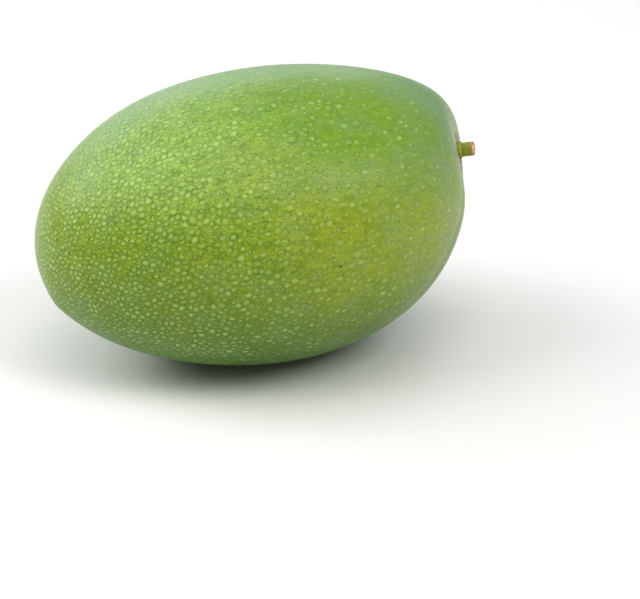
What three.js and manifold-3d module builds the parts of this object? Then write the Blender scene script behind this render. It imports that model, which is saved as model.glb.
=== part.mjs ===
// A whole green mango with the cut stub of its stalk, lying on its cheek.
// Millimetres, +Z up. +X runs along the fruit towards the stem, Z = 0 is the surface it rests on,
// and the origin is under the middle of the fruit's box.
import * as THREE from "three";
import { mergeVertices } from "three/addons/utils/BufferGeometryUtils.js";
import Module from "manifold-3d";

// --- Driving dimensions ---------------------------------------------------

// The body, before the hollow at the stem.
const HALF_LENGTH = 68;
const HALF_BREADTH = 48.5; // across the edges of the flat stone
const HALF_THICKNESS = 43.5; // from cheek to cheek
const STEM_FULLNESS = 0.025; // share by which the stem half is fuller than the middle
const FAR_SHOULDER = 6.9; // how far the stem end stands out on the +Y side
const TOP_SHOULDER = 5.5; // and on the top cheek
const ENDS_LIFT = 2.6; // both ends curve up by this
const CHEEK_SKEW = 5; // the stem half hangs lower and the tip half rides higher, by this
const LIE_ANGLE = 9.3; // degrees, the stem end up, as the fruit comes to rest
const FLAT_DEPTH = 1.3; // the flat spot is cut this deep into the lower cheek

// The stylar scar, a faint point by the tip, low on the near side.
const SCAR_ANGLE = 15; // degrees from the tip
const SCAR_TURN = 230; // degrees round the fruit, from +Y by way of the top
const SCAR_HEIGHT = 0.7;
const SCAR_RADIUS = 6;

// The hollow round the stem, and where its middle is.
const STEM_ANGLE = 13.1; // degrees from the end of the long axis
const STEM_TURN = 150.7; // degrees round the fruit, from +Y by way of the top
const HOLLOW_DEPTH = 4.2;
const HOLLOW_RADIUS = 14.4;

// The ring of cork round the stem: part of the skin. Its edge is at the full radius, and its crown,
// where it is highest, at the smaller one.
const RING_RADIUS = 5.6;
const RING_CROWN_RADIUS = 4.4;
const RING_HEIGHT = 0.35;
const RING_ROOT = 2.5; // how far it is sunk into the fruit

// The stub of the stalk, in a shallow pit.
const PIT_GAP = 0.3;
const STEM_ROOT = 1.5; // length below the skin
const ROOT_RADIUS = 2.2;
const COLLAR_HEIGHT = 1.5;
const COLLAR_RADIUS = 2.45;
const COLLAR_SLOPE = 0.45; // length over which the collar narrows to the stub
const STUB_HEIGHT = 3.4;
const STUB_RADIUS = 2.1;
const GROOVE_DEPTH = 0.15; // at the joint of collar and stub
const GROOVE_WIDTH = 0.4;
const CUT_BEVEL = 0.25;
const STUB_LEAN = 7.5; // degrees from square to the skin, towards -Y

const SIDES_ROUND = 72;
const ROWS_ALONG = 48;
const ROW_CROWDING = 0.35; // share by which the rows draw together at both ends
const STEM_SIDES = 32;

// --- The shape of the fruit -----------------------------------------------

const radians = THREE.MathUtils.degToRad;

// A point of the smooth body, for an angle from the stem end of the long axis and a turn round it:
// an ellipsoid whose stem half is fuller, whose stem end leans out to the far side and the top,
// and whose middle line bends.
function smoothBody(angle, turn) {
  const along = Math.cos(angle);
  const out = Math.sin(angle);
  const towardsStem = Math.max(along, 0);
  const girth = out * (1 + STEM_FULLNESS * along);
  const shoulder = FAR_SHOULDER * Math.cos(turn) + TOP_SHOULDER * Math.sin(turn);
  return new THREE.Vector3(
    HALF_LENGTH * along + shoulder * out * towardsStem ** 3,
    HALF_BREADTH * girth * Math.cos(turn),
    HALF_THICKNESS * girth * Math.sin(turn) + ENDS_LIFT * along ** 2 - CHEEK_SKEW * along * out ** 2,
  );
}

// The outward direction of the smooth body at a point, from two short steps across it.
function outward(angle, turn) {
  const step = 1e-3;
  const down = smoothBody(angle + step, turn).sub(smoothBody(angle - step, turn));
  const round = smoothBody(angle, turn + step).sub(smoothBody(angle, turn - step));
  return down.cross(round).normalize();
}

const scarPlace = smoothBody(Math.PI - radians(SCAR_ANGLE), radians(SCAR_TURN));
const scarOut = outward(Math.PI - radians(SCAR_ANGLE), radians(SCAR_TURN));
const hollowPlace = smoothBody(radians(STEM_ANGLE), radians(STEM_TURN));
const stemOut = outward(radians(STEM_ANGLE), radians(STEM_TURN));
const hollowFloor = hollowPlace.clone().addScaledVector(stemOut, -HOLLOW_DEPTH);

// A bell curve of the distance from a place: 1 there, and near 0 from two radii on.
function bell(point, place, radius) {
  return Math.exp(-point.distanceToSquared(place) / radius ** 2);
}

// The smooth body with the hollow pressed in and the scar raised.
function fruitPoint(angle, turn) {
  const point = smoothBody(angle, turn);
  const hollow = HOLLOW_DEPTH * bell(point, hollowPlace, HOLLOW_RADIUS);
  const scar = SCAR_HEIGHT * bell(point, scarPlace, SCAR_RADIUS);
  return point.addScaledVector(stemOut, -hollow).addScaledVector(scarOut, scar);
}

// A sphere's grid, its poles laid along X, with each vertex moved to the fruit's surface.
function fruitSurface() {
  const surface = new THREE.SphereGeometry(1, SIDES_ROUND, ROWS_ALONG).rotateZ(-Math.PI / 2);
  const place = surface.attributes.position;
  for (let i = 0; i < place.count; i++) {
    const direction = new THREE.Vector3().fromBufferAttribute(place, i).normalize();
    const even = Math.acos(THREE.MathUtils.clamp(direction.x, -1, 1));
    const angle = even - (ROW_CROWDING * Math.sin(2 * even)) / 2;
    const turn = Math.atan2(direction.z, direction.y);
    place.setXYZ(i, ...fruitPoint(angle, turn));
  }
  return surface;
}

// --- Joining and cutting --------------------------------------------------

const wasm = await Module();
wasm.setup();

// A closed geometry as a solid: only its position is kept, and its shared vertices are merged.
function solid(geometry) {
  const bare = new THREE.BufferGeometry();
  bare.setAttribute("position", geometry.getAttribute("position"));
  bare.setIndex(geometry.index);
  const merged = mergeVertices(bare, 1e-4);
  return new wasm.Manifold(
    new wasm.Mesh({
      numProp: 3,
      vertProperties: merged.attributes.position.array,
      triVerts: new Uint32Array(merged.index.array),
    }),
  );
}

// A solid's faces as a geometry.
function faces(made) {
  const mesh = made.getMesh();
  const geometry = new THREE.BufferGeometry();
  geometry.setAttribute("position", new THREE.BufferAttribute(mesh.vertProperties, 3));
  geometry.setIndex(new THREE.BufferAttribute(mesh.triVerts, 1));
  return geometry;
}

// A turned shape from its profile of [radius, height] points, on the hollow's floor, along an axis.
function turned(profile, axis) {
  const points = profile.map(([radius, height]) => new THREE.Vector2(radius, height));
  const upright = new THREE.Vector3(0, 1, 0);
  return new THREE.LatheGeometry(points, STEM_SIDES)
    .applyQuaternion(new THREE.Quaternion().setFromUnitVectors(upright, axis))
    .translate(hollowFloor.x, hollowFloor.y, hollowFloor.z);
}

// --- The pieces -----------------------------------------------------------

// Turns a geometry from the fruit's own axes to how the fruit lies.
const lay = (geometry) => geometry.rotateY(-radians(LIE_ANGLE));

// The axis of the stub: square to the skin, then leaned over.
const stubAxis = stemOut
  .clone()
  .addScaledVector(new THREE.Vector3(0, -1, 0), Math.tan(radians(STUB_LEAN)))
  .normalize();

const laidBody = lay(fruitSurface());
laidBody.computeBoundingBox();
const floorHeight = laidBody.boundingBox.min.z + FLAT_DEPTH;

function fruit() {
  const ring = turned(
    [
      [0, -RING_ROOT],
      [RING_CROWN_RADIUS, -RING_ROOT],
      [RING_RADIUS, 0],
      [(RING_RADIUS + RING_CROWN_RADIUS) / 2, RING_HEIGHT * 0.7],
      [RING_CROWN_RADIUS, RING_HEIGHT],
      [0, RING_HEIGHT],
    ],
    stemOut,
  );
  const pitRadius = COLLAR_RADIUS + PIT_GAP;
  const pitDepth = STEM_ROOT + PIT_GAP;
  const pit = turned(
    [
      [0, -pitDepth],
      [pitRadius, -pitDepth],
      [pitRadius, COLLAR_HEIGHT],
      [0, COLLAR_HEIGHT],
    ],
    stubAxis,
  );
  const side = 4 * HALF_LENGTH;
  const below = new THREE.BoxGeometry(side, side, side).translate(0, 0, floorHeight - side / 2);
  const made = solid(laidBody).add(solid(lay(ring))).subtract(solid(lay(pit))).subtract(solid(below));
  const skin = new THREE.MeshStandardMaterial({ color: 0x86a63f, roughness: 0.55 });
  const mesh = new THREE.Mesh(faces(made), skin);
  mesh.name = "fruit";
  return mesh;
}

function stem() {
  const cutEnd = COLLAR_HEIGHT + STUB_HEIGHT;
  const stub = turned(
    [
      [0, -STEM_ROOT],
      [ROOT_RADIUS, -STEM_ROOT],
      [COLLAR_RADIUS, 0],
      [COLLAR_RADIUS, COLLAR_HEIGHT - COLLAR_SLOPE],
      [STUB_RADIUS, COLLAR_HEIGHT],
      [STUB_RADIUS - GROOVE_DEPTH, COLLAR_HEIGHT + GROOVE_WIDTH / 2],
      [STUB_RADIUS, COLLAR_HEIGHT + GROOVE_WIDTH],
      [STUB_RADIUS, cutEnd - CUT_BEVEL],
      [STUB_RADIUS - CUT_BEVEL, cutEnd],
      [0, cutEnd],
    ],
    stubAxis,
  );
  const wood = new THREE.MeshStandardMaterial({ color: 0x8a7a35, roughness: 0.8 });
  const mesh = new THREE.Mesh(faces(solid(lay(stub))), wood);
  mesh.name = "stem";
  return mesh;
}

const mango = new THREE.Group();
mango.add(fruit(), stem());
const box = new THREE.Box3().setFromObject(mango);
mango.position.set(-(box.min.x + box.max.x) / 2, -(box.min.y + box.max.y) / 2, -floorHeight);

export default mango;
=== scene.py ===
"""A whole green mango with the cut stub of its stalk, lying on its cheek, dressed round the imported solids.

Lengths are in millimetres until a mesh is made; Blender's own units are metres. An angle on the fruit is
measured from the stem end of its long axis, and a turn round that axis from +Y by way of the top.
"""
from types import SimpleNamespace

import bpy
import numpy as np
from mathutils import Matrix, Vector


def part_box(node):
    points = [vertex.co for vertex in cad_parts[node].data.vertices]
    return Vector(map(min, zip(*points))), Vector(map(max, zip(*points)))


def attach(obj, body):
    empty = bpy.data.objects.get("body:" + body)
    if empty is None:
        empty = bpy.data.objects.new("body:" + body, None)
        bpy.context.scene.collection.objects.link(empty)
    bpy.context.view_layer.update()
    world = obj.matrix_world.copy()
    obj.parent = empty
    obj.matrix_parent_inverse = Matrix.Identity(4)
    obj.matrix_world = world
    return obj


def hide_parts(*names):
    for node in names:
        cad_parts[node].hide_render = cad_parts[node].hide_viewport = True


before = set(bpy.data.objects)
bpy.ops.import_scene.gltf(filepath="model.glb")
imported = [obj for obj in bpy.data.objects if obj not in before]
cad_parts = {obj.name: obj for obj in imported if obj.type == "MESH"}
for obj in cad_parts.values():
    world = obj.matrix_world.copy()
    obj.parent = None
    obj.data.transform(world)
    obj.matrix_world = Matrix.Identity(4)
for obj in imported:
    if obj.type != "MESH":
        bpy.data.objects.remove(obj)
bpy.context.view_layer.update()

MM = 0.001

# --- The fruit's own sizes ---------------------------------------------------------------------

HALF_LENGTH = 68.0
HALF_BREADTH = 48.5          # across the edges of the flat stone
HALF_THICKNESS = 43.5        # from cheek to cheek
STEM_FULLNESS = 0.025        # share by which the stem half is fuller than the middle
FAR_SHOULDER = 6.9           # the stem end stands out by up to a third of this on the +Y side
TOP_SHOULDER = 5.5           # and by up to a third of this on the top cheek
ENDS_LIFT = 2.6              # both ends curve up by this
CHEEK_SKEW = 5.0             # the stem half hangs lower and the tip half rides higher, by up to 0.38 of this
LIE_ANGLE = np.radians(9.3)  # stem end up
FLAT_DEPTH = 1.3             # the flat spot is pressed this deep into the lower cheek

SCAR_ANGLE = np.radians(15)  # the stylar scar, from the tip
SCAR_TURN = np.radians(230)
SCAR_HEIGHT = 0.7
SCAR_RADIUS = 6.0

STEM_ANGLE = np.radians(13.1)  # the middle of the hollow
STEM_TURN = np.radians(150.7)
HOLLOW_DEPTH = 4.2
HOLLOW_RADIUS = 14.4

SWELL_HEIGHT = 0.22          # the skin's long low swellings
SWELL_WAVES = (              # the way each wave runs, its length from crest to crest, and its start
    ((0.7, 0.5, 0.5), 37, 0.4),
    ((0.3, -0.8, 0.5), 45, 2.1),
    ((-0.5, 0.2, 0.85), 61, 4.0),
)

CREASE_DEPTH = 0.8           # a shallow crease down from the stem, in front of the far shoulder
CREASE_FACING = (0.28, 0.86, -0.42)  # the way that the shoulder behind the crease faces
CREASE_SHARE = -0.25         # the crease lies where the skin's own direction has this share of it
CREASE_SPREAD = 0.06
CREASE_HEIGHTS = (18, 40, 58, 64)  # above the floor: fades in between the first two, out between the last
CREASE_SHADE_AWAY = 4          # the painted shade behind the crease lies this many of its spreads on from it
CREASE_SHADE_WIDTH = 3.5       # and spreads this many times as far

# --- The cork and the stub ---------------------------------------------------------------------

RING_RADIUS = 5.6            # the cork round the stem
RING_HEIGHT = 0.35
RING_SLOPE = 1.3             # the ring's edge rises over this
RING_WAVES = ((0.06, 3, 0.8), (0.035, 7, 2.0))  # share of the radius, waves round the ring, and start
RING_SHARES = (0.75, 0.35, 0.5)  # of the ring's height: its ground, its lumps, and its cracks' depth
CRACKS = 11                  # radial cracks in the cork
CRACK_SHARPNESS = 10
CRACK_BEND = 0.9             # how far a crack strays, in radians of its own wave
CRACK_BENDING = 2.2          # radians of that straying per mm
CRACK_START = 0.5
LUMPS = 4                    # lumps round the ring
LUMP_TWIST = 2.6             # radians that the lumps wind on per mm
CORK_DROP = 1.2              # the stained cork sits this far below the stem's middle
TIP_SIDE = -20               # skin this far below the hollow's floor is at the tip, and has no cork

PIT_RADIUS = 2.75            # the pit that the stem stands in
PIT_WALL = (0.1, -0.25)      # its wall slopes from this far outside the radius to this far inside
PIT_DEPTH = 1.4

STEM_ROOT = 1.1              # length below the skin
COLLAR_HEIGHT = 1.5
COLLAR_RADIUS = 2.45
STUB_HEIGHT = 3.4
STUB_RADIUS = 2.1
STUB_LEAN = np.radians(7.5)  # from square to the skin, towards -Y
STUB_OVAL = (0.04, 0.6)      # share by which the stub is out of round, and its wave's start
STUB_RIDGES = ((0.018, 9, 0.8), (0.012, 17, -1.0))  # share of the radius, how many, radians per mm up
COLLAR_LOBES = (0.05, 3, 1.0)  # share of the radius, how many, and their wave's start
CUT_FALL = 0.05              # slope of the cut
CUT_TURN = 0.5               # and the turn that it falls towards, in radians
CUT_REACH = 0.5              # the stub slopes with its cut from this far above the collar
CUT_EDGE = 0.1               # the cut's own face starts this far inside the stub's radius
CUT_ABOVE = 1                # and this far above the collar, clear of the joint's groove

# --- Pores and grids ---------------------------------------------------------------------------

# The pores at four shares of the way from the middle: -1 is the tip and 1 the stem end.
PORE_SHARES = (-1.0, -0.4, 0.1, 1.0)
PORE_SPACINGS = (1.7, 2.2, 2.7, 3.7)
PORE_RADII = (0.78, 1.0, 0.9, 0.52)
PORE_PALENESS = (0.48, 0.46, 0.34, 0.66)

GOLDEN_ANGLE = np.radians(137.508)
CELL_SHARE = 0.866           # area of a pore's six-sided cell over the square of the spacing
STRETCH = 1.18               # pores are longer along the fruit by the square of this
PORE_STRAY = 0.36            # each pore strays from its place by up to this share of the spacing
PLACES_SEED = 7
LOOKS_SEED = 11
RADIUS_SPREAD = (0.5, 1.3)   # a pore's radius over that of its place
LEAST_PALENESS = 0.25        # a pore's paleness is at least this share of its place's
MORE_PALENESS = 1.1          # and at most this much more
RARITY_SHARES = (-0.4, 0.6)  # between these shares of the way, pale pores get rarer
RARITIES = (0.8, 2.6)
MOUTH_SHARES = (-0.7, -0.1)  # between these shares of the way, brown mouths get commoner
MOUTH_CHANCES = (0.02, 0.17)
MOUTH_DARKNESS = (0.6, 1.0)
MOUTH_RADIUS = 0.66          # of the whole pore that has a brown mouth
MOUTH_PALENESS = 0.55
DRIFT_WAVES = ((0.30, 0.16, -0.12), (-0.08, 0.26, 0.21))  # radians per mm along X, Y and Z
DRIFT_START = 0.8
DRIFT_DEPTH = 1.3            # where they drift together, a mouth is up to this much likelier, as a share
LEAST_DRIFT = 0.15           # and elsewhere at least this share as likely

STEP = 1e-3                  # a short step of angle or turn, in radians, for slopes
POLE_GAP = 0.004             # the count of pores starts this far from a pole, in radians
NEAREST_POLE = 0.01          # and no pore is nearer to it than this
COUNT_ROWS = 1500
COUNT_SIDES = 48
BLOCKS = 30                  # distances are worked out in this many blocks, to spare memory
NEIGHBOURS = 8               # a pore's border is looked for among this many others

ROWS_ALONG = 300
SIDES_ROUND = 320
ROW_CROWDING = 0.35          # share by which the rows draw together at both ends
STEM_ROWS = 170
STEM_SIDES = 144

# --- Shapes ------------------------------------------------------------------------------------


def smooth_body(angle, turn):
    """The body before the hollow: an ellipsoid on an angle from the stem end and a turn round the long axis.

    Its girth grows by STEM_FULLNESS towards the stem. The shoulders push the stem half out along X, by the
    sine of the angle times the third power of its cosine. The middle line rises with the square of the
    cosine, and falls with the cosine times the square of the sine.
    """
    along = np.cos(angle)
    out = np.sin(angle)
    girth = out * (1 + STEM_FULLNESS * along)
    shoulder = FAR_SHOULDER * np.cos(turn) + TOP_SHOULDER * np.sin(turn)
    x = HALF_LENGTH * along + shoulder * out * np.maximum(along, 0) ** 3
    y = HALF_BREADTH * girth * np.cos(turn)
    z = HALF_THICKNESS * girth * np.sin(turn) + ENDS_LIFT * along**2 - CHEEK_SKEW * along * out**2
    return np.stack(np.broadcast_arrays(x, y, z), axis=-1)


def unit(vectors):
    """Each vector over its own length."""
    return vectors / np.maximum(np.linalg.norm(vectors, axis=-1, keepdims=True), 1e-9)


def slopes(angle, turn):
    """What the body's place gains per radian of angle and per radian of turn, from a short step both ways."""
    down = smooth_body(angle + STEP, turn) - smooth_body(angle - STEP, turn)
    onward = smooth_body(angle, turn + STEP) - smooth_body(angle, turn - STEP)
    return down / (2 * STEP), onward / (2 * STEP)


def outward(angle, turn):
    """The body's outward direction: the cross product of its two slopes."""
    return unit(np.cross(*slopes(angle, turn)))


def bell(points, place, radius):
    """e to the minus square of the distance over the radius: 1 at the place, near 0 from two radii on."""
    return np.exp(-np.sum((points - place) ** 2, axis=-1) / radius**2)


def smoothstep(low, high, value):
    """0 at low, 1 at high, 3t^2 - 2t^3 between them, and level beyond. Low may be the greater."""
    t = np.clip((value - low) / (high - low), 0, 1)
    return t * t * (3 - 2 * t)


SCAR_PLACE = smooth_body(np.pi - SCAR_ANGLE, SCAR_TURN)
SCAR_OUT = outward(np.pi - SCAR_ANGLE, SCAR_TURN)
HOLLOW_PLACE = smooth_body(STEM_ANGLE, STEM_TURN)
STEM_OUT = outward(STEM_ANGLE, STEM_TURN)
HOLLOW_FLOOR = HOLLOW_PLACE - HOLLOW_DEPTH * STEM_OUT
STUB_AXIS = unit(STEM_OUT + np.array([0, -1, 0]) * np.tan(STUB_LEAN))
STUB_SIDE = unit(np.cross(STUB_AXIS, [0, 0, 1]))
STUB_UP = np.cross(STUB_SIDE, STUB_AXIS)
CORK_PLACE = HOLLOW_FLOOR - CORK_DROP * STUB_UP


def swellings(points):
    """Three long waves across the skin, each a sine of a slanting distance, averaged."""
    waves = [np.sin(points @ np.array(way) * 2 * np.pi / length + start)
             for way, length, start in SWELL_WAVES]
    return SWELL_HEIGHT * sum(waves) / len(waves)


def cork_relief(points):
    """Height of the cork ring, from the distance and the turn about the stem's foot.

    The ring's edge wanders with two sines of the turn. Inside it the cork is raised and lumpy, and broken
    by radial cracks, which are the sharpened crests of a faster sine that bends with the distance. The
    pit in its middle is a step down with a sloping wall.
    """
    from_foot = points - HOLLOW_FLOOR
    height = from_foot @ STEM_OUT
    side, up = from_foot @ STUB_SIDE, from_foot @ STUB_UP
    distance = np.sqrt(np.maximum(np.sum(from_foot**2, axis=-1) - height**2, 0))
    turn = np.arctan2(up, side)
    wander = sum(share * np.sin(count * turn + start) for share, count, start in RING_WAVES)
    edge = RING_RADIUS * (1 + wander)
    raised = smoothstep(edge, edge - RING_SLOPE, distance)
    bend = CRACK_BEND * np.sin(CRACK_BENDING * distance)
    crack = np.abs(np.sin(CRACKS / 2 * turn + bend + CRACK_START)) ** CRACK_SHARPNESS
    lumps = 0.5 + 0.5 * np.sin(LUMPS * turn + LUMP_TWIST * distance)
    ground_share, lump_share, crack_share = RING_SHARES
    crust = RING_HEIGHT * raised * (ground_share + lump_share * lumps - crack_share * crack)
    pit = smoothstep(PIT_RADIUS + PIT_WALL[0], PIT_RADIUS + PIT_WALL[1], distance)
    return (height > TIP_SIDE) * (crust - PIT_DEPTH * pit)


def crease(placed, directions):
    """Depth of the crease and share of the grey painted shade behind it: two bells across the way that the
    skin faces.
    """
    facing = directions @ unit(np.array(CREASE_FACING)) - CREASE_SHARE
    low, full, fading, end = CREASE_HEIGHTS
    height = placed[:, 2]
    reach = smoothstep(low, full, height) * smoothstep(end, fading, height) * (placed[:, 0] > 0)
    across = np.exp(-(facing / CREASE_SPREAD) ** 2)
    behind = np.exp(-((facing - CREASE_SHADE_AWAY * CREASE_SPREAD) / (CREASE_SHADE_WIDTH * CREASE_SPREAD)) ** 2)
    return CREASE_DEPTH * across * reach, behind * reach


def lay(points):
    """The fruit's own axes turned about Y by the lie angle, the stem end up."""
    x, y, z = np.moveaxis(points, -1, 0)
    cos, sin = np.cos(LIE_ANGLE), np.sin(LIE_ANGLE)
    return np.stack([x * cos - z * sin, y, x * sin + z * cos], axis=-1)


def fruit_points(angle, turn):
    """The body with the hollow pressed in along the stem's line and the scar raised, in the fruit's own axes.

    Both are bells of the distance from their places.
    """
    points = smooth_body(angle, turn)
    hollow = HOLLOW_DEPTH * bell(points, HOLLOW_PLACE, HOLLOW_RADIUS)
    scar = SCAR_HEIGHT * bell(points, SCAR_PLACE, SCAR_RADIUS)
    return points - hollow[..., None] * STEM_OUT + scar[..., None] * SCAR_OUT


def round_grid(ways, sides, poles):
    """Each way with each of so many even turns, as two flat arrays, then the two poles at turn 0."""
    turn = np.linspace(0, 2 * np.pi, sides, endpoint=False)
    way, turn = np.meshgrid(ways, turn, indexing="ij")
    return np.concatenate([way.ravel(), poles]), np.concatenate([turn.ravel(), [0, 0]])


def fruit_grid():
    """Angles and turns of the fruit's points: rows that draw together at both poles, then the poles."""
    even = np.linspace(0, np.pi, ROWS_ALONG + 1)[1:-1]
    return round_grid(even - ROW_CROWDING * np.sin(2 * even) / 2, SIDES_ROUND, [0, np.pi])


def closed_faces(rows, sides):
    """Faces of a closed form of rows x sides vertices, then its first and last pole: quads and two fans."""
    row, side = np.meshgrid(np.arange(rows - 1), np.arange(sides), indexing="ij")
    after = (side + 1) % sides
    low, high = row * sides, (row + 1) * sides
    quads = np.stack([low + side, high + side, high + after, low + after], axis=-1).reshape(-1, 4)
    ring = np.arange(sides)
    following = (ring + 1) % sides
    first, last = rows * sides, rows * sides + 1
    top = np.stack([np.full(sides, first), ring, following], axis=-1)
    bottom_row = (rows - 1) * sides
    bottom = np.stack([np.full(sides, last), bottom_row + following, bottom_row + ring], axis=-1)
    return quads.tolist() + top.tolist() + bottom.tolist()


def store(mesh, label, domain, values):
    """Stores numbers or vectors in the mesh under a label, one for each point, corner or face."""
    kind, field = ("FLOAT_VECTOR", "vector") if values.ndim == 2 else ("FLOAT", "value")
    layer = mesh.attributes.new(label, kind, domain)
    layer.data.foreach_set(field, values.astype(np.float32).ravel())


def make_piece(name, points, faces, material, attributes):
    """A mesh object at the origin from points in mm, smooth shaded, with its attributes by name."""
    mesh = bpy.data.meshes.new(name)
    mesh.from_pydata((points * MM).tolist(), [], faces)
    for label, values in attributes.items():
        store(mesh, label, "POINT", values)
    mesh.materials.append(material)
    mesh.shade_smooth()
    mesh.validate()
    piece = bpy.data.objects.new(name, mesh)
    bpy.context.scene.collection.objects.link(piece)
    return piece


# --- Pores -------------------------------------------------------------------------------------


def pore_spacing(x):
    """Distance from pore to pore, by straight lines between four places. It grows from tip to stem."""
    return np.interp(x / HALF_LENGTH, PORE_SHARES, PORE_SPACINGS)


def pore_centres():
    """Angles and turns of the pores' middles.

    The count down the fruit is the running sum of the skin's area over the area of one pore's cell.
    A pore sits half a count past each whole one, and turns on from the last by the golden angle. Then
    both move by a random share of the spacing, so that no spiral shows.
    """
    fine = np.linspace(POLE_GAP, np.pi - POLE_GAP, COUNT_ROWS)
    turns = np.linspace(0, 2 * np.pi, COUNT_SIDES, endpoint=False)
    down, onward = slopes(*np.meshgrid(fine, turns, indexing="ij"))
    area = np.linalg.norm(np.cross(down, onward), axis=-1).mean(axis=1) * 2 * np.pi
    spacing = pore_spacing(HALF_LENGTH * np.cos(fine))
    count = np.cumsum(area / (CELL_SHARE * spacing**2)) * (fine[1] - fine[0])
    number = int(count[-1])
    random = np.random.default_rng(PLACES_SEED)
    angle = np.interp(np.arange(number) + 0.5, count, fine)
    turn = np.arange(number) * GOLDEN_ANGLE
    own_spacing = pore_spacing(HALF_LENGTH * np.cos(angle))
    girth = np.maximum(HALF_BREADTH * np.sin(angle), own_spacing)
    angle = angle + random.uniform(-PORE_STRAY, PORE_STRAY, number) * own_spacing / HALF_LENGTH
    turn = turn + random.uniform(-PORE_STRAY, PORE_STRAY, number) * own_spacing / girth
    return np.clip(angle, NEAREST_POLE, np.pi - NEAREST_POLE), turn


def pore_looks(middles):
    """Radius, paleness and mouth of each pore, from its share of the way along and from random numbers.

    Towards the stem most pores are faint, and a few stand out: a random number is raised to the power of
    their rarity. All pores with a dried brown mouth have the same radius and paleness. Most of them lie
    from the middle to the stem, and drift together where the product of two slanting sines is high.
    """
    share = middles[:, 0] / HALF_LENGTH
    number = len(share)
    random = np.random.default_rng(LOOKS_SEED)
    radius = np.interp(share, PORE_SHARES, PORE_RADII) * random.uniform(*RADIUS_SPREAD, number)
    rarity = np.interp(share, RARITY_SHARES, RARITIES)
    standing_out = LEAST_PALENESS + MORE_PALENESS * random.uniform(0, 1, number) ** rarity
    paleness = np.interp(share, PORE_SHARES, PORE_PALENESS) * standing_out
    first, second = (middles @ np.array(wave) for wave in DRIFT_WAVES)
    drift = np.maximum(1 + DRIFT_DEPTH * np.sin(first) * np.sin(second + DRIFT_START), LEAST_DRIFT)
    has_mouth = random.uniform(0, 1, number) < np.interp(share, MOUTH_SHARES, MOUTH_CHANCES) * drift
    mouth = has_mouth * random.uniform(*MOUTH_DARKNESS, number)
    radius = np.where(has_mouth, MOUTH_RADIUS, radius)
    paleness = np.where(has_mouth, MOUTH_PALENESS, paleness)
    return np.stack([radius, paleness, mouth], axis=-1)


def nearest(places, middles):
    """Number of the nearest middle to each place, by square of distance less the place's own square."""
    squares = np.sum(middles**2, axis=-1)
    found = [np.argmin(squares - 2 * block @ middles.T, axis=1) for block in np.array_split(places, BLOCKS)]
    return np.concatenate(found)


def neighbours(middles):
    """Numbers of the nearest others to each middle, by the same measure."""
    squares = np.sum(middles**2, axis=-1)
    found = []
    for block in np.array_split(np.arange(len(middles)), BLOCKS):
        measure = squares - 2 * middles[block] @ middles.T
        measure[np.arange(len(block)), block] = np.inf
        found.append(np.argpartition(measure, NEIGHBOURS, axis=1)[:, :NEIGHBOURS])
    return np.concatenate(found)


def add_pores(mesh, bare):
    """Gives each face its nearest pore: its corners' offsets from the middle, and the pore's own looks.

    Offsets are in mm along the fruit and round it, the first over STRETCH and the second times it. A
    corner's way to the border is half of how much nearer it is to its own pore than to any other.
    """
    angle, turn = pore_centres()
    middles = fruit_points(angle, turn)
    lengthwise = unit(slopes(angle, turn)[0])
    crosswise = np.cross(outward(angle, turn), lengthwise)

    corner_vertex = np.empty(len(mesh.loops), dtype=np.int32)
    mesh.loops.foreach_get("vertex_index", corner_vertex)
    corners = np.empty(len(mesh.polygons), dtype=np.int32)
    mesh.polygons.foreach_get("loop_total", corners)
    first_corner = np.concatenate([[0], np.cumsum(corners)[:-1]])
    corner_place = bare[corner_vertex]
    face_middle = np.add.reduceat(corner_place, first_corner, axis=0) / corners[:, None]
    face_pore = nearest(face_middle, middles)
    corner_pore = np.repeat(face_pore, corners)

    offset = corner_place - middles[corner_pore]
    lengths = np.sum(offset * lengthwise[corner_pore], axis=-1) / STRETCH
    crossings = np.sum(offset * crosswise[corner_pore], axis=-1) * STRETCH
    store(mesh, "pore_offset", "CORNER", np.stack([lengths, crossings, 0 * lengths], axis=-1))

    others = middles[neighbours(middles)[corner_pore]]
    to_other = np.linalg.norm(corner_place[:, None] - others, axis=-1).min(axis=1)
    store(mesh, "pore_border", "CORNER", (to_other - np.linalg.norm(offset, axis=-1)) / 2)
    store(mesh, "pore_own", "FACE", pore_looks(middles)[face_pore])


# --- Materials ---------------------------------------------------------------------------------

# Sizes of the skin's patterns, in mm.
CLOUD_SIZE = 36
YELLOW_SIZE = 24
WAX_SIZE = 20
HAZE_SIZE = 7
STREAK_SIZE = 5
MOTTLE_SIZE = 1.3
WANDER_SIZE = 0.9            # of the pores' edges
GRAIN_SIZE = 0.55
CORK_EDGE_SIZE = 2.6
CORK_WEATHER_SIZE = 2.4
CORK_SPECK_SIZE = 1.1

DRAW_OUT = (0.45, 1.0, 1.0)  # lengths along X count for less, so streaks and mottle are drawn out that way
RAGGEDNESS = 22.0            # mm that the streaks push a yellowed patch's edge in or out, at most
PORE_WANDER = 1.1            # mm that a pore's edge wanders, from end to end
PORE_EDGE = (1.3, 0.4)       # a pore fades between these shares of its radius
BORDER_FADE = 0.5            # and within this many mm of its cell's border
GROOVE_WIDTH = 0.35
PINPOINT = (0.33, 0.15)      # mm from the pore's middle where its mouth starts, and is full
CORK_EDGE_STRAY = (-2.4, 4.2)  # mm that the cork's edge strays in and out of the ring
CORK_EDGE_WIDTH = 0.7
CORK_RIM_WIDTH = 1.5         # of the browner rim inside that edge

PORE_RELIEF = 0.15           # mm, for the bumps
GRAIN_RELIEF = 0.05
CORK_RELIEF = 0.3
WOOD_RELIEF = 0.15

BARK_MOTTLE_SIZE = 1.1       # the stalk's patterns
BARK_SPECK_SIZE = 0.5
RIM_SHARES = (0.74, 0.86)    # the cut's dark rim starts, and is full, at these shares of the stub's radius

# Yellowed patches high on the front: angle and turn in degrees, and reach in mm.
YELLOW_PATCHES = ((95.5, 131, 17), (84.5, 150, 15), (82, 162, 9))

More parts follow.
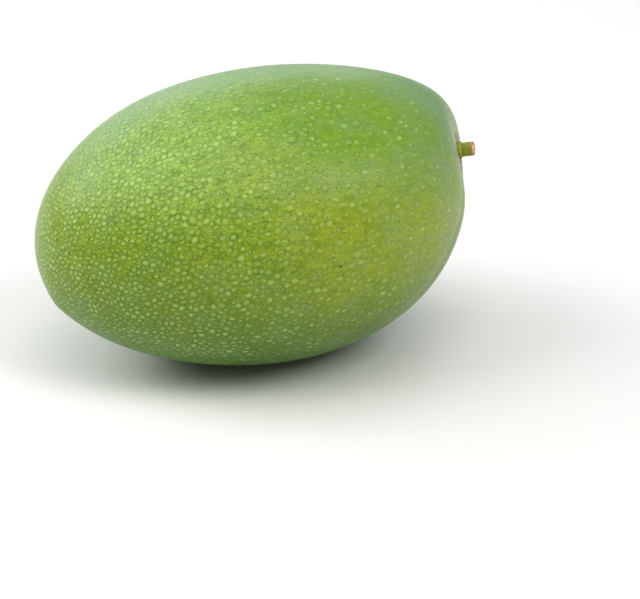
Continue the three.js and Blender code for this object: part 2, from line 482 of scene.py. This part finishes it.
# Rubbed marks low on the front: angle and turn in degrees, and radius in mm.
RUBBED_MARKS = ((82, 178, 0.6), (55.5, 208.5, 0.9), (57.5, 208, 0.6))

# What the skin's patterns read from the fruit's mesh, and the socket that it comes from.
SKIN_ATTRIBUTES = (
    ("pore_offset", "Vector"), ("pore_own", "Vector"), ("pore_border", "Fac"), ("way_along", "Fac"),
    ("from_stem", "Fac"), ("from_scar", "Fac"), ("crease_wax", "Fac"),
)

# Sockets of the Mix node in its colour form.
FACTOR, FIRST, SECOND, MIXED = 0, 6, 7, 2


def colour(code):
    """An sRGB hex colour as linear red, green and blue, and an alpha of 1."""
    srgb = np.array([int(code[i:i + 2], 16) for i in (0, 2, 4)]) / 255
    linear = np.where(srgb <= 0.04045, srgb / 12.92, ((srgb + 0.055) / 1.055) ** 2.4)
    return (*linear.tolist(), 1.0)


def add(tree, kind, inputs=None, out=0, **settings):
    """Adds a node: settings are its own, inputs are values or links by socket. Returns its output, or it."""
    node = tree.nodes.new(kind)
    for name, value in settings.items():
        setattr(node, name, value)
    for socket, value in (inputs or {}).items():
        if isinstance(value, bpy.types.NodeSocket):
            tree.links.new(value, node.inputs[socket])
        else:
            node.inputs[socket].default_value = value
    return node if out is None else node.outputs[out]


def coated(tree, base, coats):
    """A base colour under coats that are laid on in turn. Each is a share, from 0 to 1, and a colour."""
    for share, tint in coats:
        base = add(tree, "ShaderNodeMix", {FACTOR: share, FIRST: base, SECOND: tint},
                   out=MIXED, data_type="RGBA")
    return base


def new_material(name):
    """An empty node material and its tree."""
    material = bpy.data.materials.new(name)
    material.use_nodes = True
    material.node_tree.nodes.clear()
    return material, material.node_tree


def place_in_mm(tree):
    """The place on the piece, in millimetres."""
    place = add(tree, "ShaderNodeTexCoord", out="Object")
    return add(tree, "ShaderNodeVectorMath", {0: place, "Scale": 1 / MM}, operation="SCALE")


def skin_place(angle, turn, shift):
    """The place in mm of the laid fruit's skin at an angle and a turn in degrees."""
    return tuple((lay(fruit_points(np.radians(angle), np.radians(turn))) + shift).tolist())


def skin_reads(tree):
    """What the skin's patterns read: places, the mesh's attributes, and the streaks and grain they share.

    Heights above the floor and distances from the stem are in mm. The way along is -1 at the tip and 1 at
    the stem end.
    """
    mm = place_in_mm(tree)
    apart = add(tree, "ShaderNodeSeparateXYZ", {0: mm}, out=None)
    drawn_out = add(tree, "ShaderNodeVectorMath", {0: mm, 1: DRAW_OUT}, operation="MULTIPLY")
    streak = add(tree, "ShaderNodeTexNoise", {"Vector": drawn_out, "Scale": 1 / STREAK_SIZE, "Detail": 6.0,
                                              "Roughness": 0.65})
    grain = add(tree, "ShaderNodeTexNoise", {"Vector": mm, "Scale": 1 / GRAIN_SIZE, "Detail": 2.0})
    attributes = {name: add(tree, "ShaderNodeAttribute", out=socket, attribute_name=name)
                  for name, socket in SKIN_ATTRIBUTES}
    return SimpleNamespace(mm=mm, across=apart.outputs["Y"], above_floor=apart.outputs["Z"],
                           drawn_out=drawn_out, streak=streak, grain=grain, **attributes)


def ground_coats(tree, skin):
    """The green under the pores: clouds, a deep underside, a pale top, streaks, mottle and haze.

    Clouds of olive are 20 to 60 mm across. The top is greener and the sides more olive. The deep green low
    down is painted shade, darkest near the floor. Streaks run along the fruit. The mottle is the leather's
    own cells, 1 to 3 mm across and darker between them. The haze is small patches, 3 to 7 mm across, where
    a little wax is left.
    """
    cloud = add(tree, "ShaderNodeTexNoise", {"Vector": skin.mm, "Scale": 1 / CLOUD_SIZE, "Detail": 3.0,
                                             "Roughness": 0.55})
    cloud_push = add(tree, "ShaderNodeMapRange", {"Value": cloud, "From Min": 0.36, "From Max": 0.66,
                                                  "To Min": -0.14, "To Max": 0.2})
    side = add(tree, "ShaderNodeMapRange", {"Value": skin.above_floor, "From Min": 79.0, "From Max": 52.0,
                                            "To Min": 0.06, "To Max": 0.7}, interpolation_type="SMOOTHSTEP")
    stem_push = add(tree, "ShaderNodeMapRange", {"Value": skin.way_along, "From Min": -0.5, "From Max": 0.3,
                                                 "To Min": 1.0, "To Max": 1.4})
    pushed = add(tree, "ShaderNodeMath", {0: side, 1: stem_push}, operation="MULTIPLY")
    olive = add(tree, "ShaderNodeMath", {0: pushed, 1: cloud_push}, operation="ADD", use_clamp=True)

    # Painted shade: the skin turns a deep green from 50 mm above the floor down to 8 mm.
    painted_underside_shade = add(tree, "ShaderNodeMapRange", {"Value": skin.above_floor, "From Min": 50.0, "From Max": 8.0,
                                                 "To Max": 0.95}, interpolation_type="SMOOTHSTEP")
    tip_half = add(tree, "ShaderNodeMapRange", {"Value": skin.way_along, "From Min": 0.3, "From Max": -0.4},
                   interpolation_type="SMOOTHSTEP")
    upper = add(tree, "ShaderNodeMapRange", {"Value": skin.above_floor, "From Min": 46.0, "From Max": 74.0,
                                             "To Max": 0.7}, interpolation_type="SMOOTHSTEP")
    pale_top = add(tree, "ShaderNodeMath", {0: tip_half, 1: upper}, operation="MULTIPLY")

    unevenness = add(tree, "ShaderNodeMapRange", {"Value": skin.way_along, "From Min": -0.2, "From Max": 0.5,
                                                  "To Min": 1.0, "To Max": 0.64})
    streak_depth = add(tree, "ShaderNodeMapRange", {"Value": skin.streak, "From Min": 0.4, "From Max": 0.7,
                                                    "To Max": 0.28})
    streaks = add(tree, "ShaderNodeMath", {0: streak_depth, 1: unevenness}, operation="MULTIPLY")
    cells = add(tree, "ShaderNodeTexNoise", {"Vector": skin.drawn_out, "Scale": 1 / MOTTLE_SIZE,
                                             "Detail": 3.0, "Roughness": 0.6})
    mottle_depth = add(tree, "ShaderNodeMapRange", {"Value": cells, "From Min": 0.6, "From Max": 0.38,
                                                    "To Max": 0.48})
    mottle = add(tree, "ShaderNodeMath", {0: mottle_depth, 1: unevenness}, operation="MULTIPLY")

    haze_cloud = add(tree, "ShaderNodeTexNoise", {"Vector": skin.mm, "Scale": 1 / HAZE_SIZE, "Detail": 3.0})
    haze = add(tree, "ShaderNodeMapRange", {"Value": haze_cloud, "From Min": 0.46, "From Max": 0.66,
                                            "To Max": 0.14})
    return [
        (olive, colour("9EAE2A")),
        (painted_underside_shade, colour("3E660A")),
        (pale_top, colour("B4D86A")),
        (streaks, colour("5E8A08")),
        (mottle, colour("4E7A02")),
        (haze, colour("86AE84")),
    ]


def yellow_coats(tree, skin, shift):
    """Yellowed patches: faint ones, fainter still at the tip, and ragged dashed ones high on the front."""
    patch = add(tree, "ShaderNodeTexNoise", {"Vector": skin.mm, "Scale": 1 / YELLOW_SIZE, "Detail": 3.0,
                                             "Distortion": 0.6})
    faint = add(tree, "ShaderNodeMapRange", {"Value": patch, "From Min": 0.52, "From Max": 0.7,
                                             "To Max": 0.08})
    ripeness = add(tree, "ShaderNodeMapRange", {"Value": skin.way_along, "From Min": -0.7, "From Max": -0.1,
                                                "To Min": 0.25}, interpolation_type="SMOOTHSTEP")
    yellowed = add(tree, "ShaderNodeMath", {0: faint, 1: ripeness}, operation="MULTIPLY")
    ragged = add(tree, "ShaderNodeMapRange", {"Value": skin.streak, "To Min": -RAGGEDNESS,
                                              "To Max": RAGGEDNESS})
    for angle, turn, reach in YELLOW_PATCHES:
        away = add(tree, "ShaderNodeVectorMath", {0: skin.mm, 1: skin_place(angle, turn, shift)}, out="Value",
                   operation="DISTANCE")
        ragged_away = add(tree, "ShaderNodeMath", {0: away, 1: ragged}, operation="ADD")
        near = add(tree, "ShaderNodeMapRange", {"Value": ragged_away, "From Min": reach, "From Max": 0.0,
                                                "To Max": 0.21}, interpolation_type="SMOOTHSTEP")
        yellowed = add(tree, "ShaderNodeMath", {0: yellowed, 1: near}, operation="MAXIMUM")
    return [(yellowed, colour("A8AE3A"))]


def pore_coats(tree, skin):
    """Pores, with the groove, flecks and pinpoints that go with them. Returns the coats and the pores' form.

    Pores are pale corky spots with wandering edges, each with its own radius, paleness and mouth. A thin
    ring of painted shade runs round each, as if in a groove, and closes to a net where they crowd at the
    tip. Fine dark flecks lie between them, and brown pinpoints are the dried mouths of some.
    """
    own = add(tree, "ShaderNodeSeparateXYZ", {0: skin.pore_own}, out=None)
    radius, paleness, mouth = own.outputs
    wobble = add(tree, "ShaderNodeTexNoise", {"Vector": skin.mm, "Scale": 1 / WANDER_SIZE, "Detail": 2.0},
                 out="Color")
    centred = add(tree, "ShaderNodeVectorMath", {0: wobble, 1: (0.5, 0.5, 0.5)}, operation="SUBTRACT")
    nudge = add(tree, "ShaderNodeVectorMath", {0: centred, "Scale": PORE_WANDER}, operation="SCALE")
    wandered = add(tree, "ShaderNodeVectorMath", {0: skin.pore_offset, 1: nudge}, operation="ADD")
    distance = add(tree, "ShaderNodeVectorMath", {0: wandered}, out="Value", operation="LENGTH")
    outer = add(tree, "ShaderNodeMath", {0: radius, 1: PORE_EDGE[0]}, operation="MULTIPLY")
    core = add(tree, "ShaderNodeMath", {0: radius, 1: PORE_EDGE[1]}, operation="MULTIPLY")
    spot = add(tree, "ShaderNodeMapRange", {"Value": distance, "From Min": outer, "From Max": core},
               interpolation_type="SMOOTHSTEP")
    within = add(tree, "ShaderNodeMapRange", {"Value": skin.pore_border, "From Min": 0.0,
                                              "From Max": BORDER_FADE}, interpolation_type="SMOOTHSTEP")
    pore = add(tree, "ShaderNodeMath", {0: spot, 1: within}, operation="MULTIPLY")
    pale_pores = add(tree, "ShaderNodeMath", {0: pore, 1: paleness}, operation="MULTIPLY")

    # Painted shade: a thin dark ring round each pore, as if in a groove, stronger towards the tip.
    groove_edge = add(tree, "ShaderNodeMath", {0: outer, 1: GROOVE_WIDTH}, operation="ADD")
    close = add(tree, "ShaderNodeMapRange", {"Value": distance, "From Min": groove_edge, "From Max": outer})
    groove = add(tree, "ShaderNodeMath", {0: close, 1: pore}, operation="SUBTRACT", use_clamp=True)
    groove_shade_depth = add(tree, "ShaderNodeMapRange", {"Value": skin.way_along, "From Min": -0.5,
                                                    "From Max": 0.5, "To Min": 0.4, "To Max": 0.08})
    groove_shade = add(tree, "ShaderNodeMath", {0: groove, 1: groove_shade_depth}, operation="MULTIPLY")

    fleck = add(tree, "ShaderNodeMapRange", {"Value": skin.grain, "From Min": 0.6, "From Max": 0.67})
    fleck_depth = add(tree, "ShaderNodeMapRange", {"Value": skin.way_along, "From Min": 0.0, "From Max": 0.6,
                                                   "To Min": 0.7, "To Max": 0.42})
    flecks = add(tree, "ShaderNodeMath", {0: fleck, 1: fleck_depth}, operation="MULTIPLY")

    sharp_distance = add(tree, "ShaderNodeVectorMath", {0: skin.pore_offset}, out="Value", operation="LENGTH")
    pin = add(tree, "ShaderNodeMapRange", {"Value": sharp_distance, "From Min": PINPOINT[0],
                                           "From Max": PINPOINT[1]}, interpolation_type="SMOOTHSTEP")
    pinpoints = add(tree, "ShaderNodeMath", {0: pin, 1: mouth}, operation="MULTIPLY")
    coats = [
        (groove_shade, colour("456A00")),
        (pale_pores, colour("BADB7C")),
        (flecks, colour("405E04")),
        (pinpoints, colour("4A340E")),
    ]
    return coats, pore


def wax_and_painted_light_coats(tree, skin):
    """Wax bloom and painted light: a bluish wax veil near the stem, a greener veil high on the back that is
    partly wax and partly painted reflection, and grey painted shade on the shoulder behind the crease.

    The first thins out away from the stem. It and the last are broken into the same patches.
    """
    cloud = add(tree, "ShaderNodeTexNoise", {"Vector": skin.mm, "Scale": 1 / WAX_SIZE, "Detail": 4.0})
    patch = add(tree, "ShaderNodeMapRange", {"Value": cloud, "From Min": 0.4, "From Max": 0.66,
                                             "To Min": 0.2})
    near = add(tree, "ShaderNodeMapRange", {"Value": skin.from_stem, "From Min": 62.0, "From Max": 12.0,
                                            "To Max": 0.5}, interpolation_type="SMOOTHSTEP")
    near_stem = add(tree, "ShaderNodeMath", {0: near, 1: patch}, operation="MULTIPLY")
    # Partly wax bloom, partly painted reflection: a pale veil high on the back, where the bright back would
    # shine at a grazing angle.
    high = add(tree, "ShaderNodeMapRange", {"Value": skin.above_floor, "From Min": 55.0, "From Max": 80.0,
                                            "To Max": 0.34}, interpolation_type="SMOOTHSTEP")
    back = add(tree, "ShaderNodeMapRange", {"Value": skin.across, "From Min": -26.0, "From Max": 14.0},
               interpolation_type="SMOOTHSTEP")
    high_back_wax_and_sheen = add(tree, "ShaderNodeMath", {0: high, 1: back}, operation="MULTIPLY")
    # Painted shade: grey on the far shoulder behind the crease, in a wax colour, broken into the wax's
    # patches.
    broken = add(tree, "ShaderNodeMapRange", {"Value": patch, "To Min": 0.2, "To Max": 0.6})
    shade_behind_crease = add(tree, "ShaderNodeMath", {0: skin.crease_wax, 1: broken}, operation="MULTIPLY")
    return [
        (near_stem, colour("86A29A")),
        (high_back_wax_and_sheen, colour("92B29E")),
        (shade_behind_crease, colour("7E9484")),
    ]


def cork_coats(tree, skin):
    """Weathered cork round the stem, with a stain on the skin about it. Returns the coats, share and relief.

    The cork is pink-brown and patchy, with a browner rim, a ragged edge and nearly black specks.
    """
    wander = add(tree, "ShaderNodeTexNoise", {"Vector": skin.mm, "Scale": 1 / CORK_EDGE_SIZE, "Detail": 4.0})
    edge = add(tree, "ShaderNodeMapRange", {"Value": wander, "To Min": RING_RADIUS + CORK_EDGE_STRAY[0],
                                            "To Max": RING_RADIUS + CORK_EDGE_STRAY[1]})
    inner = add(tree, "ShaderNodeMath", {0: edge, 1: CORK_EDGE_WIDTH}, operation="SUBTRACT")
    cork = add(tree, "ShaderNodeMapRange", {"Value": skin.from_stem, "From Min": edge, "From Max": inner})
    weather = add(tree, "ShaderNodeTexNoise", {"Vector": skin.mm, "Scale": 1 / CORK_WEATHER_SIZE,
                                               "Detail": 3.0})
    weathered = add(tree, "ShaderNodeMapRange", {"Value": weather, "From Min": 0.35, "From Max": 0.65})
    rim_start = add(tree, "ShaderNodeMath", {0: edge, 1: CORK_RIM_WIDTH}, operation="SUBTRACT")
    rim = add(tree, "ShaderNodeMapRange", {"Value": skin.from_stem, "From Min": rim_start, "From Max": edge,
                                           "To Max": 0.35})
    speck = add(tree, "ShaderNodeTexNoise", {"Vector": skin.mm, "Scale": 1 / CORK_SPECK_SIZE, "Detail": 4.0,
                                             "Roughness": 0.62})
    specks = add(tree, "ShaderNodeMapRange", {"Value": speck, "From Min": 0.52, "From Max": 0.6,
                                              "To Max": 0.95})
    cork_colour = coated(tree, colour("E8CDB8"), [
        (weathered, colour("B08C74")),
        (rim, colour("6E5A3A")),
        (specks, colour("2C1C14")),
    ])
    stain = add(tree, "ShaderNodeMapRange", {"Value": skin.from_stem, "From Min": 10.0, "From Max": 5.5,
                                             "To Max": 0.45})
    stained = add(tree, "ShaderNodeMath", {0: stain, 1: wander}, operation="MULTIPLY")
    crust = add(tree, "ShaderNodeMath", {0: speck, 1: cork}, operation="MULTIPLY")
    return [(stained, colour("A09080")), (cork, cork_colour)], cork, crust


def mark_coats(tree, skin, shift):
    """Small dark rubbed marks low on the front, and the dried stylar scar."""
    coats = []
    for angle, turn, radius in RUBBED_MARKS:
        away = add(tree, "ShaderNodeVectorMath", {0: skin.mm, 1: skin_place(angle, turn, shift)}, out="Value",
                   operation="DISTANCE")
        mark = add(tree, "ShaderNodeMapRange", {"Value": away, "From Min": radius, "From Max": radius / 2,
                                                "To Max": 0.75}, interpolation_type="SMOOTHSTEP")
        coats.append((mark, colour("2E3C14")))
    scar = add(tree, "ShaderNodeMapRange", {"Value": skin.from_scar, "From Min": 1.5, "From Max": 0.7})
    return [*coats, (scar, colour("54402A"))]


def mango_skin(shift):
    """Green mango skin: a leathery cuticle with a thin wax bloom.

    The eye sees an even soft sheen over green and olive clouds, pale corky pores that crowd towards
    the tip and thin out towards the stem, ringed brown pinpoints, and a bluish veil of wax.
    """
    material, tree = new_material("waxy_mango_skin")
    skin = skin_reads(tree)
    pores, pore = pore_coats(tree, skin)
    cork_layers, cork, crust = cork_coats(tree, skin)
    skin_colour = coated(tree, colour("76A31E"), [
        *ground_coats(tree, skin),
        *yellow_coats(tree, skin, shift),
        *pores,
        *wax_and_painted_light_coats(tree, skin),
        *cork_layers,
        *mark_coats(tree, skin, shift),
    ])

    # Relief: pores stand about a tenth of a millimetre proud, over a fine leathery grain and rough cork.
    pore_bump = add(tree, "ShaderNodeBump", {"Strength": 0.8, "Distance": PORE_RELIEF * MM, "Height": pore})
    skin_bump = add(tree, "ShaderNodeBump", {"Strength": 0.35, "Distance": GRAIN_RELIEF * MM,
                                             "Height": skin.grain, "Normal": pore_bump})
    relief = add(tree, "ShaderNodeBump", {"Strength": 0.8, "Distance": CORK_RELIEF * MM, "Height": crust,
                                          "Normal": skin_bump})
    rough = add(tree, "ShaderNodeMapRange", {"Value": cork, "To Min": 0.38, "To Max": 0.85})
    shader = add(tree, "ShaderNodeBsdfPrincipled", {
        "Base Color": skin_colour, "Roughness": rough, "Normal": relief,
        "IOR": 1.45, "Specular IOR Level": 0.27,
        "Coat Weight": 0.07, "Coat Roughness": 0.22, "Coat IOR": 1.4,
        "Sheen Weight": 0.08, "Sheen Roughness": 0.4, "Sheen Tint": colour("E8F0DC"),
    })
    add(tree, "ShaderNodeOutputMaterial", {"Surface": shader}, out=None)
    return material


def stalk_wood():
    """Fresh-cut mango stalk, matte all over.

    The eye sees a green-brown rind that dries to tan by the cut, dark specks, and on the cut itself pale
    fibrous wood with a dark rim.
    """
    material, tree = new_material("cut_stalk_wood")
    mm = place_in_mm(tree)
    height = add(tree, "ShaderNodeAttribute", out="Fac", attribute_name="height")
    radius = add(tree, "ShaderNodeAttribute", out="Fac", attribute_name="radius")
    cut_end = add(tree, "ShaderNodeAttribute", out="Fac", attribute_name="cut_end")

    mottle = add(tree, "ShaderNodeTexNoise", {"Vector": mm, "Scale": 1 / BARK_MOTTLE_SIZE, "Detail": 4.0})
    climb = add(tree, "ShaderNodeMath", {0: mottle, 1: height}, operation="ADD")
    drying = add(tree, "ShaderNodeMapRange", {"Value": climb, "From Min": 4.4, "From Max": 5.3})
    speck = add(tree, "ShaderNodeTexNoise", {"Vector": mm, "Scale": 1 / BARK_SPECK_SIZE, "Detail": 2.0})
    dark = add(tree, "ShaderNodeMapRange", {"Value": speck, "From Min": 0.6, "From Max": 0.68, "To Max": 0.8})
    rind = coated(tree, colour("7A8422"), [
        (mottle, colour("A8B43E")),
        (drying, colour("D29A48")),
        (dark, colour("3C2E1A")),
    ])

    dried = add(tree, "ShaderNodeMapRange", {"Value": mottle, "From Min": 0.44, "From Max": 0.58})
    rim = add(tree, "ShaderNodeMapRange", {"Value": radius, "From Min": STUB_RADIUS * RIM_SHARES[0],
                                           "From Max": STUB_RADIUS * RIM_SHARES[1]})
    end_grain = coated(tree, colour("F0DCB4"), [
        (dried, colour("CC9A58")),
        (dark, colour("8A5A2C")),
        (rim, colour("54381C")),
    ])
    relief = add(tree, "ShaderNodeBump", {"Strength": 0.7, "Distance": WOOD_RELIEF * MM, "Height": speck})
    shader = add(tree, "ShaderNodeBsdfPrincipled", {
        "Base Color": coated(tree, rind, [(cut_end, end_grain)]), "Roughness": 0.72, "IOR": 1.45,
        "Normal": relief,
    })
    add(tree, "ShaderNodeOutputMaterial", {"Surface": shader}, out=None)
    return material


# --- Pieces ------------------------------------------------------------------------------------


def cad_shift():
    """What moves the laid fruit to its place: its flat spot to Z = 0, and its box's middle to the CAD's."""
    laid = lay(fruit_points(*fruit_grid()))
    low, high = laid.min(axis=0), laid.max(axis=0)
    cad_low, cad_high = (np.array(corner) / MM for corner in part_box("fruit"))
    middle = (cad_low + cad_high) / 2 - (low + high) / 2
    return np.array([middle[0], middle[1], -low[2] - FLAT_DEPTH])


def make_fruit(shift):
    """The fruit: body, hollow and scar by formula, then swellings, the cork's relief and the crease."""
    angle, turn = fruit_grid()
    bare = fruit_points(angle, turn)
    # The step across a pole has no turn, so a pole's normal is the long axis.
    at_pole = np.sin(angle) < 1e-6
    long_axis = np.stack([np.cos(angle), 0 * angle, 0 * angle], axis=-1)
    normals = np.where(at_pole[:, None], long_axis, outward(angle, turn))
    points = bare + normals * swellings(bare)[:, None] + STEM_OUT * cork_relief(bare)[:, None]
    placed = lay(points) + shift
    directions = lay(normals)
    # The crease's depth, and the share of grey painted shade on the shoulder behind it.
    depth, crease_wax = crease(placed, directions)
    placed = placed - directions * depth[:, None]
    placed[:, 2] = np.maximum(placed[:, 2], 0)
    faces = closed_faces(ROWS_ALONG - 1, SIDES_ROUND)
    piece = make_piece("mango_fruit", placed, faces, mango_skin(shift), {
        "way_along": bare[:, 0] / HALF_LENGTH,
        "from_stem": np.linalg.norm(bare - CORK_PLACE, axis=-1),
        "from_scar": np.linalg.norm(bare - SCAR_PLACE, axis=-1),
        "crease_wax": crease_wax,
    })
    add_pores(piece.data, bare)
    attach(piece, "root")
    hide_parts("fruit")


def stem_profile(way):
    """Radius and height of the stub for a way of 0 at its root's middle to 1 at the cut's middle.

    Straight lines between corners, whose lengths share out the way. Row by row the corners are the
    root, the collar, the groove at the joint, the stub, and the cut, which is a little hollow.
    """
    top = COLLAR_HEIGHT + STUB_HEIGHT
    corners = np.array([
        [0, -STEM_ROOT], [2.2, -STEM_ROOT], [2.4, -0.6],
        [COLLAR_RADIUS, 0], [COLLAR_RADIUS, 1.0], [2.3, 1.35],
        [STUB_RADIUS - 0.05, COLLAR_HEIGHT], [STUB_RADIUS - 0.15, COLLAR_HEIGHT + 0.15],
        [STUB_RADIUS, COLLAR_HEIGHT + 0.45], [STUB_RADIUS, top - 0.2],
        [STUB_RADIUS - 0.12, top], [STUB_RADIUS - 0.35, top - 0.05], [0.6, top - 0.2], [0, top - 0.1],
    ])
    length = np.concatenate([[0], np.cumsum(np.linalg.norm(np.diff(corners, axis=0), axis=1))])
    radius, height = (np.interp(way * length[-1], length, column) for column in corners.T)
    return radius, height


def make_stem(shift):
    """The stub: its profile turned about its axis, with an oval, ridges, a lobed collar and a tilted cut.

    Each of them is a sine of the turn, and the ridges' sines bend with the height.
    """
    way, turn = round_grid(np.linspace(0, 1, STEM_ROWS + 1)[1:-1], STEM_SIDES, [0, 1])
    radius, height = stem_profile(way)
    oval_share, oval_start = STUB_OVAL
    oval = 1 + oval_share * np.cos(2 * turn + oval_start)
    ridges = 1 + sum(share * np.sin(count * turn + bend * height) for share, count, bend in STUB_RIDGES)
    lobe_share, lobes, lobe_start = COLLAR_LOBES
    flare = 1 + lobe_share * np.sin(lobes * turn + lobe_start) * (height < COLLAR_HEIGHT)
    reach = radius * oval * ridges * flare
    tilt = -CUT_FALL * reach * np.cos(turn - CUT_TURN) * (height > COLLAR_HEIGHT + CUT_REACH)
    sideways = (reach * np.cos(turn))[:, None] * STUB_SIDE + (reach * np.sin(turn))[:, None] * STUB_UP
    points = HOLLOW_FLOOR + sideways + (height + tilt)[:, None] * STUB_AXIS
    cut = (radius < STUB_RADIUS - CUT_EDGE) & (height > COLLAR_HEIGHT + CUT_ABOVE)
    faces = closed_faces(STEM_ROWS - 1, STEM_SIDES)
    piece = make_piece("mango_stem", lay(points) + shift, faces, stalk_wood(), {
        "height": height, "radius": radius, "cut_end": cut.astype(float),
    })
    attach(piece, "root")
    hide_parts("stem")


# --- Floor, light and camera -------------------------------------------------------------------

CAMERA_AZIMUTH = np.radians(-18)  # the camera stands this far round from -Y, towards -X
CAMERA_ELEVATION = np.radians(25)
CAMERA_DISTANCE = 585.6
CAMERA_FOCAL = 110.0
CAMERA_SENSOR = 36.0
AIM = np.array([14.32, -16.26, 19.33])  # the point in the middle of the view

FAR_CLIP = 100               # in metres, as what follows is
FLOOR_HALF = 3.0
LAMP_AIM = (0, 0, 0.04)
SURROUND = 0.15              # the even surround's strength

# Each lamp's name, place, width and height, watts and colour.
LAMPS = (
    ("top_softbox", (0, 0, 2.0), (2.0, 2.0), 14, "FFFFFF"),
    ("top_front_softbox", (0, -0.7, 1.8), (1.2, 1.2), 6, "FFF8EC"),
    ("top_left_softbox", (-1.3, 0.2, 1.3), (1.2, 1.2), 14, "FFFFFF"),
    ("front_right_softbox", (0.9, -1.0, 1.4), (0.9, 0.9), 14, "FFFFFF"),
    ("left_back_softbox", (-1.1, 0.9, 0.7), (0.7, 0.7), 7, "FFFFFF"),
    ("back_softbox", (0, 1.5, 0.55), (1.6, 0.7), 4.5, "EAF2FF"),
)


def make_camera():
    """The camera looks along its azimuth and elevation at the aim."""
    forward = np.array([
        -np.sin(CAMERA_AZIMUTH) * np.cos(CAMERA_ELEVATION),
        np.cos(CAMERA_AZIMUTH) * np.cos(CAMERA_ELEVATION),
        -np.sin(CAMERA_ELEVATION),
    ])
    data = bpy.data.cameras.new("camera")
    data.sensor_width = CAMERA_SENSOR
    data.lens = CAMERA_FOCAL
    data.clip_end = FAR_CLIP
    camera = bpy.data.objects.new("camera", data)
    camera.location = (AIM - forward * CAMERA_DISTANCE) * MM
    camera.rotation_euler = Vector(forward).to_track_quat("-Z", "Y").to_euler()
    bpy.context.scene.collection.objects.link(camera)
    bpy.context.scene.camera = camera


def make_floor():
    """A wide pale floor, lightly matte: painted board that gives a soft shadow and hardly a reflection."""
    material, tree = new_material("pale_floor")
    shader = add(tree, "ShaderNodeBsdfPrincipled", {"Base Color": colour("F6F6F6"), "Roughness": 0.6,
                                                    "Specular IOR Level": 0.2})
    add(tree, "ShaderNodeOutputMaterial", {"Surface": shader}, out=None)
    corners = [(x * FLOOR_HALF, y * FLOOR_HALF, 0) for x, y in ((-1, -1), (1, -1), (1, 1), (-1, 1))]
    mesh = bpy.data.meshes.new("floor")
    mesh.from_pydata(corners, [], [(0, 1, 2, 3)])
    mesh.materials.append(material)
    floor = bpy.data.objects.new("floor", mesh)
    bpy.context.scene.collection.objects.link(floor)


def make_light(name, place, size, watts, tint):
    """A soft rectangular lamp at a place, turned to the lamps' aim."""
    data = bpy.data.lights.new(name, "AREA")
    data.shape = "RECTANGLE"
    data.size, data.size_y = size
    data.energy = watts
    data.color = colour(tint)[:3]
    lamp = bpy.data.objects.new(name, data)
    lamp.location = place
    lamp.rotation_euler = (Vector(LAMP_AIM) - Vector(place)).to_track_quat("-Z", "Y").to_euler()
    bpy.context.scene.collection.objects.link(lamp)


def make_world():
    """An even white surround."""
    world = bpy.data.worlds.new("studio")
    world.use_nodes = True
    world.node_tree.nodes.clear()
    glow = add(world.node_tree, "ShaderNodeBackground", {"Color": colour("FFFFFF"), "Strength": SURROUND})
    add(world.node_tree, "ShaderNodeOutputWorld", {"Surface": glow}, out=None)
    bpy.context.scene.world = world


make_camera()
make_floor()
make_world()
for lamp_values in LAMPS:
    make_light(*lamp_values)
bpy.context.scene.view_settings.view_transform = "Standard"

placing = cad_shift()
make_fruit(placing)
make_stem(placing)
